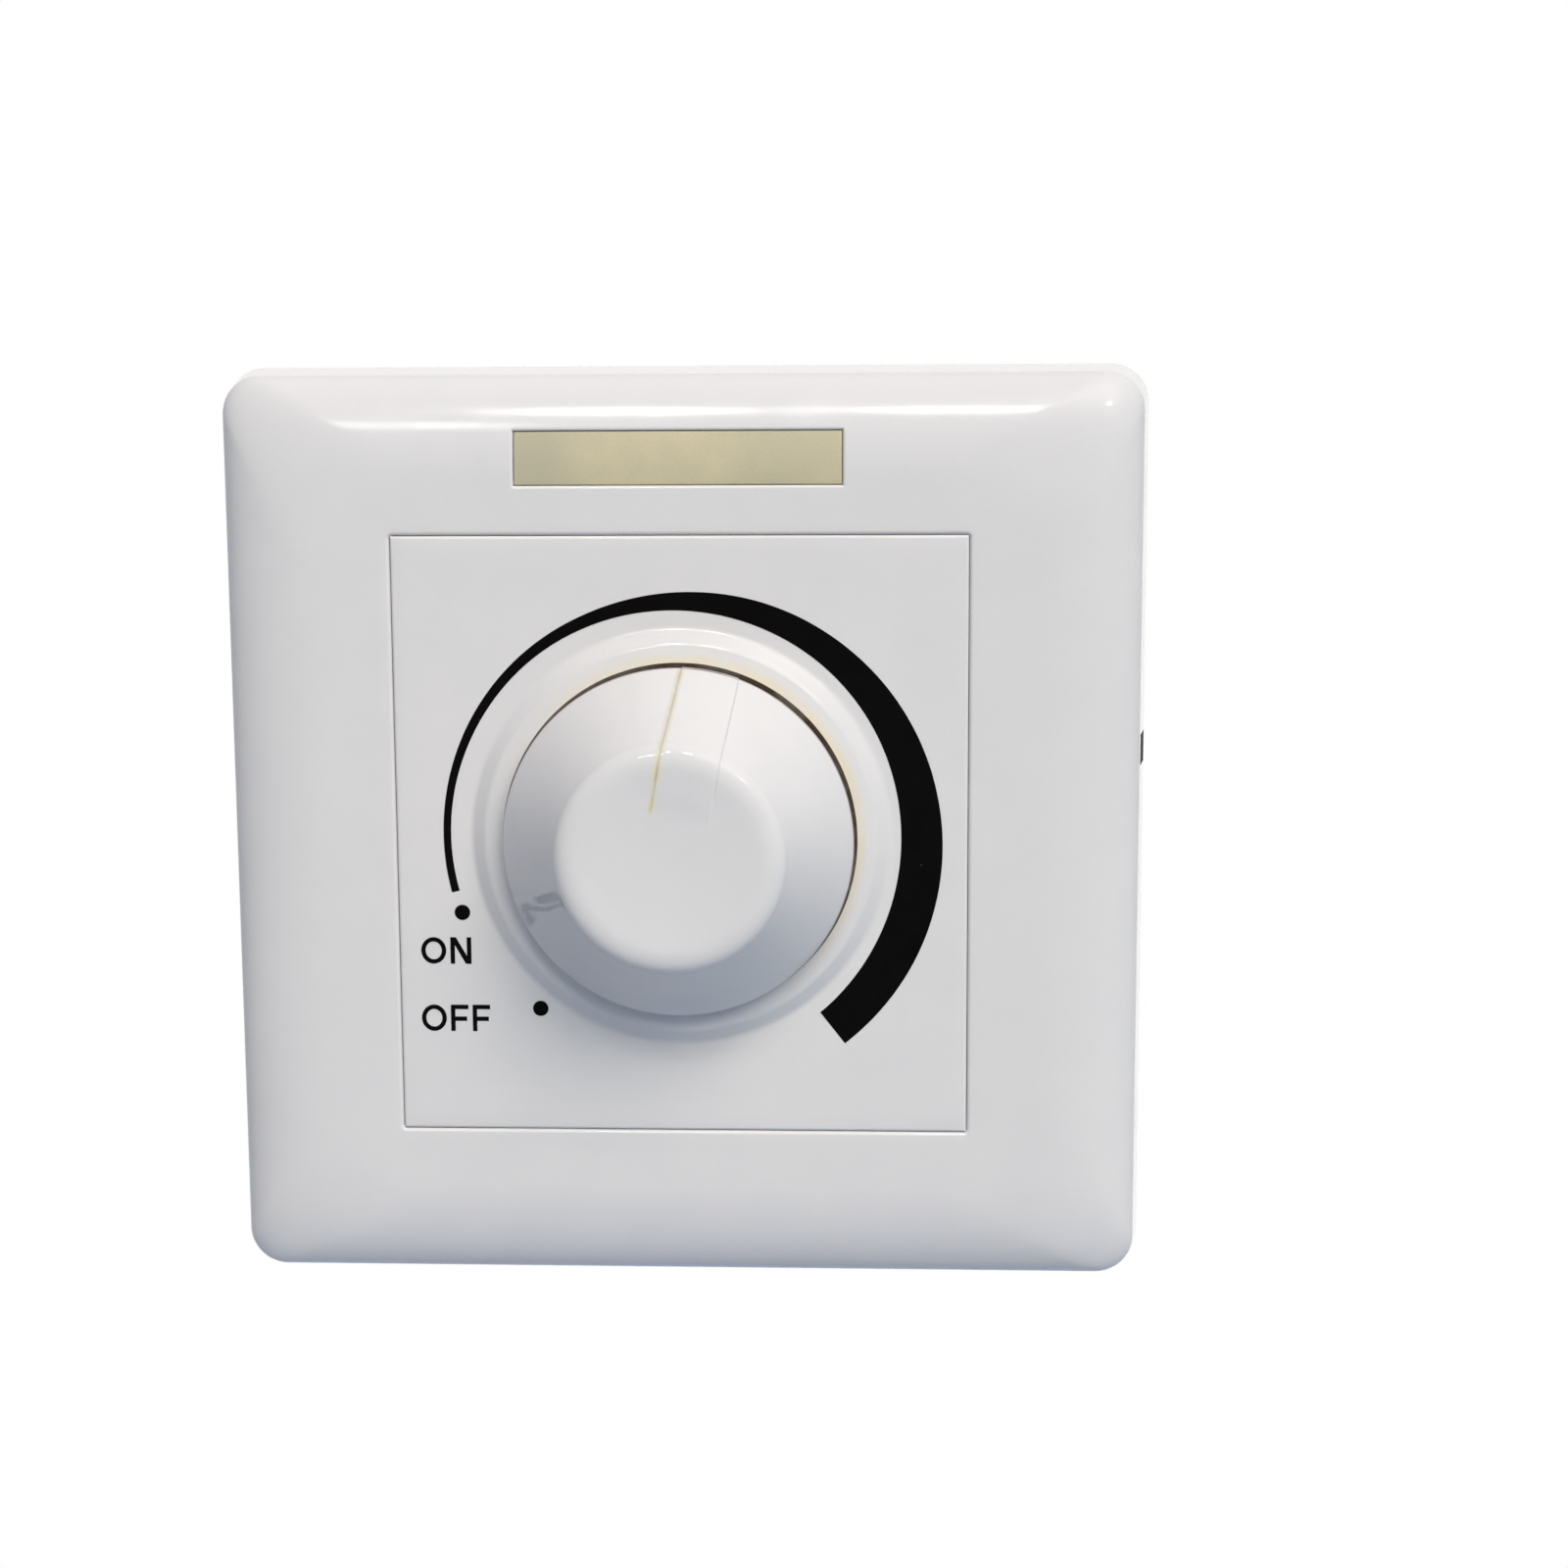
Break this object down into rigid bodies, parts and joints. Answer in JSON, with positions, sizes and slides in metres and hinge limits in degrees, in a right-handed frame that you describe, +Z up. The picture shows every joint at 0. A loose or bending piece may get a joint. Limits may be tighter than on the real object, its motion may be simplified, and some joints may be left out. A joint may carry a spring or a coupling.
{
  "type": "rotary dimmer",
  "caption": "Square white wall-plate rotary dimmer with a pillowed clipped frame, flush panel, collar ring, flared knob, beige strip and a rear box for a wall box.",
  "frame": {"origin": "centre of the plate on the wall's surface, midway between the two wall screws", "axes": "+Z up the wall, -Y out of the wall towards the person, +X to their right"},
  "size_m": [0.086, 0.0476, 0.086],
  "materials": {
    "front_plastic": "glossy white moulded plastic",
    "knob_plastic": "glossy white moulded plastic",
    "strip_plastic": "matte beige plastic",
    "base_plastic": "fine-grained off-white plastic",
    "housing_plastic": "fine-grained light grey plastic",
    "zinc_steel": "zinc-plated steel",
    "spring_bronze": "spring bronze strip",
    "brass": "turned brass",
    "board": "green lacquered board",
    "black_moulding": "black moulded epoxy",
    "phenolic": "brown laminate",
    "tinned_metal": "bright tinned metal",
    "aluminium": "plain sheet aluminium",
    "ferrite": "dark grey ferrite",
    "copper_winding": "enamelled copper wire",
    "capacitor_yellow": "yellow box capacitor",
    "capacitor_red": "dipped red-brown coating",
    "resistor_tan": "tan lacquer",
    "glass_tube": "clear glass",
    "terminal_plastic": "green terminal plastic"
  },
  "bodies": {
    "plate": {"cover_frame": "front_plastic", "glow_strip": "strip_plastic", "front_panel": "front_plastic", "mounting_yoke": "base_plastic", "yoke_screws": "zinc_steel", "rear_housing": "housing_plastic", "circuit_board": "board", "board_screws": "zinc_steel", "pot_case": "zinc_steel", "pot_bushing": "brass", "pot_lock_washer": "zinc_steel", "pot_nut": "zinc_steel", "pot_track": "phenolic", "pot_terminals": "tinned_metal", "switch_case": "phenolic", "switch_leaf": "spring_bronze", "switch_contact": "brass", "terminal_block": "terminal_plastic", "terminal_clamps": "brass", "terminal_screws": "zinc_steel", "terminal_pins": "tinned_metal", "triac_body": "black_moulding", "triac_tab": "tinned_metal", "heat_sink": "aluminium", "heat_sink_screw": "zinc_steel", "heat_sink_nut": "zinc_steel", "choke_core": "ferrite", "choke_winding": "copper_winding", "filter_capacitor": "capacitor_yellow", "timing_capacitor": "capacitor_red", "resistors": "resistor_tan", "resistor_leads": "tinned_metal", "diac": "glass_tube", "fuse_glass": "glass_tube", "fuse_caps": "tinned_metal", "fuse_clips": "tinned_metal"},
    "dial": {"knob": "knob_plastic", "knob_spring_clip": "spring_bronze", "pot_shaft": "aluminium", "pot_wiper_carrier": "phenolic", "pot_wiper": "spring_bronze", "switch_cam": "black_moulding"}
  },
  "joints": [
    {"name": "knob_turn", "type": "hinge", "parent": "plate", "child": "dial", "pos_m": [0, 0, 0], "axis": [0, 1, 0], "range_deg": [-152.5, 131]}
  ]
}
